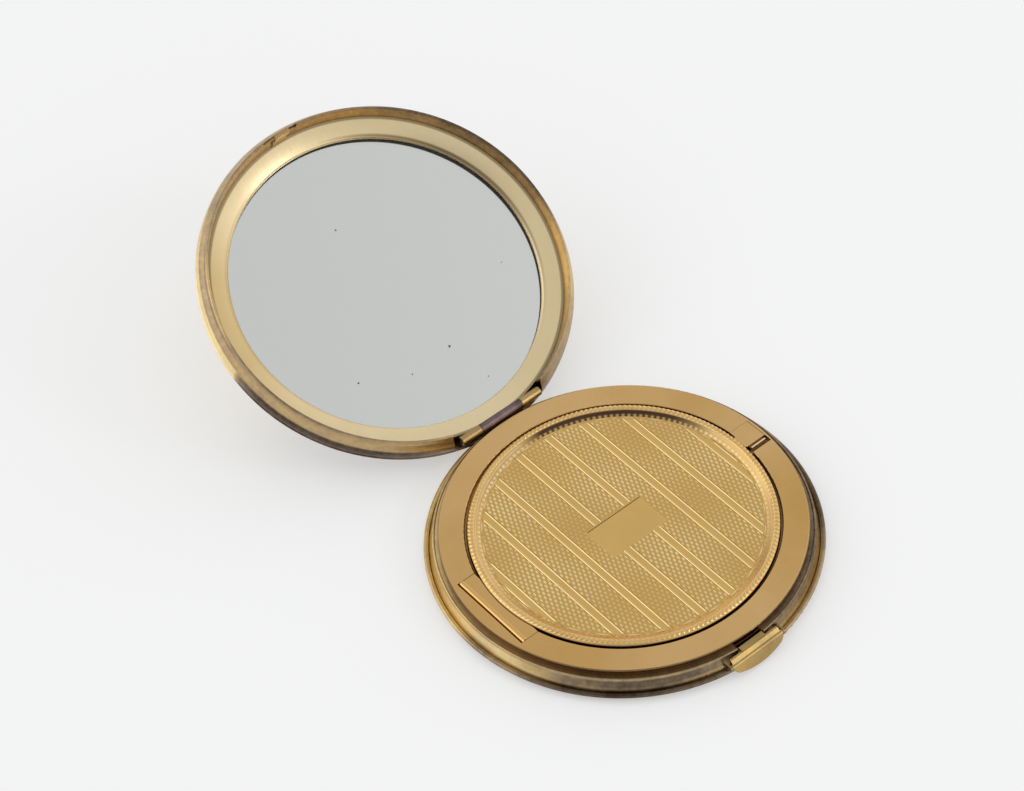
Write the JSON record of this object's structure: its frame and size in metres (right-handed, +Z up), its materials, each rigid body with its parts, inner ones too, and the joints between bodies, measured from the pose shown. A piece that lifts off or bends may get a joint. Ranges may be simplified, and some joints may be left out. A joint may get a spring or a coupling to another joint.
{
  "type": "powder compact with mirror",
  "caption": "Round loose-powder compact with a hinged lid that holds a mirror, a ring with a hinged powder door, a spring snap and a thumb catch.",
  "frame": {"origin": "centre of the base's flat foot, on the table", "axes": "+Z up through the base's axis, +Y towards the lid hinge, -Y towards the thumb catch"},
  "size_m": [0.075, 0.1417, 0.0386],
  "materials": {
    "dark_gilt": "aged gilt with brown patina",
    "bronzed_wall": "bronze-brown worn gilt",
    "dark_knuckle": "dark tarnish",
    "satin_gold": "satin gilt",
    "engraved_gold": "gilt with fine engraving",
    "bright_gold": "polished gilt",
    "worn_gold": "gilt worn at the edges",
    "steel_pin": "plain drawn wire",
    "clear_glass": "polished, with small specks",
    "silver": "silvered back of the glass",
    "card": "thin brown card"
  },
  "bodies": {
    "base": {"base_cover": "dark_gilt", "base_frame": "bronzed_wall", "base_knuckle": "dark_knuckle", "frame_ring": "satin_gold", "powder_pan": "satin_gold", "door_hinge_pin": "steel_pin", "door_lift_spring": "satin_gold", "catch_pin": "steel_pin", "catch_ears": "bronzed_wall", "catch_spring": "steel_pin"},
    "pin": {"hinge_pin": "steel_pin"},
    "lid": {"lid_cover": "dark_gilt", "lid_frame": "bronzed_wall", "mirror_bezel": "bright_gold", "mirror_glass": "clear_glass", "mirror_silvering": "silver", "mirror_pad": "card", "lid_knuckle_left": "worn_gold", "lid_knuckle_right": "worn_gold", "lid_catch_lug": "worn_gold"},
    "door": {"powder_door": "engraved_gold"},
    "snap": {"door_snap": "bright_gold"},
    "thumb": {"thumb_catch": "worn_gold"}
  },
  "joints": [
    {"name": "lid_hinge", "type": "hinge", "parent": "base", "child": "lid", "pos_m": [0, 0.03567, 0.00582], "axis": [-1, 0, 0], "range_deg": [-154.6, 0]},
    {"name": "powder_door_hinge", "type": "hinge", "parent": "base", "child": "door", "pos_m": [-0.0312, 0.00015, 0.00485], "axis": [0, -1, 0], "range_deg": [0, 100]},
    {"name": "thumb_catch_pivot", "type": "hinge", "parent": "base", "child": "thumb", "pos_m": [-0.0009, -0.03705, 0.00275], "axis": [1, 0, 0], "range_deg": [0, 7], "stiffness_Nm_per_rad": 0.01, "springref_deg": -2.86},
    {"name": "door_snap_bend", "type": "hinge", "parent": "base", "child": "snap", "pos_m": [0.0316, 0.0027, 0.00545], "axis": [-1, 0, 0], "range_deg": [0, 8], "stiffness_Nm_per_rad": 0.01, "springref_deg": -2.86},
    {"name": "hinge_pin_float", "type": "hinge", "parent": "base", "child": "pin", "pos_m": [0, 0.03567, 0.00582], "axis": [1, 0, 0], "continuous": true}
  ]
}
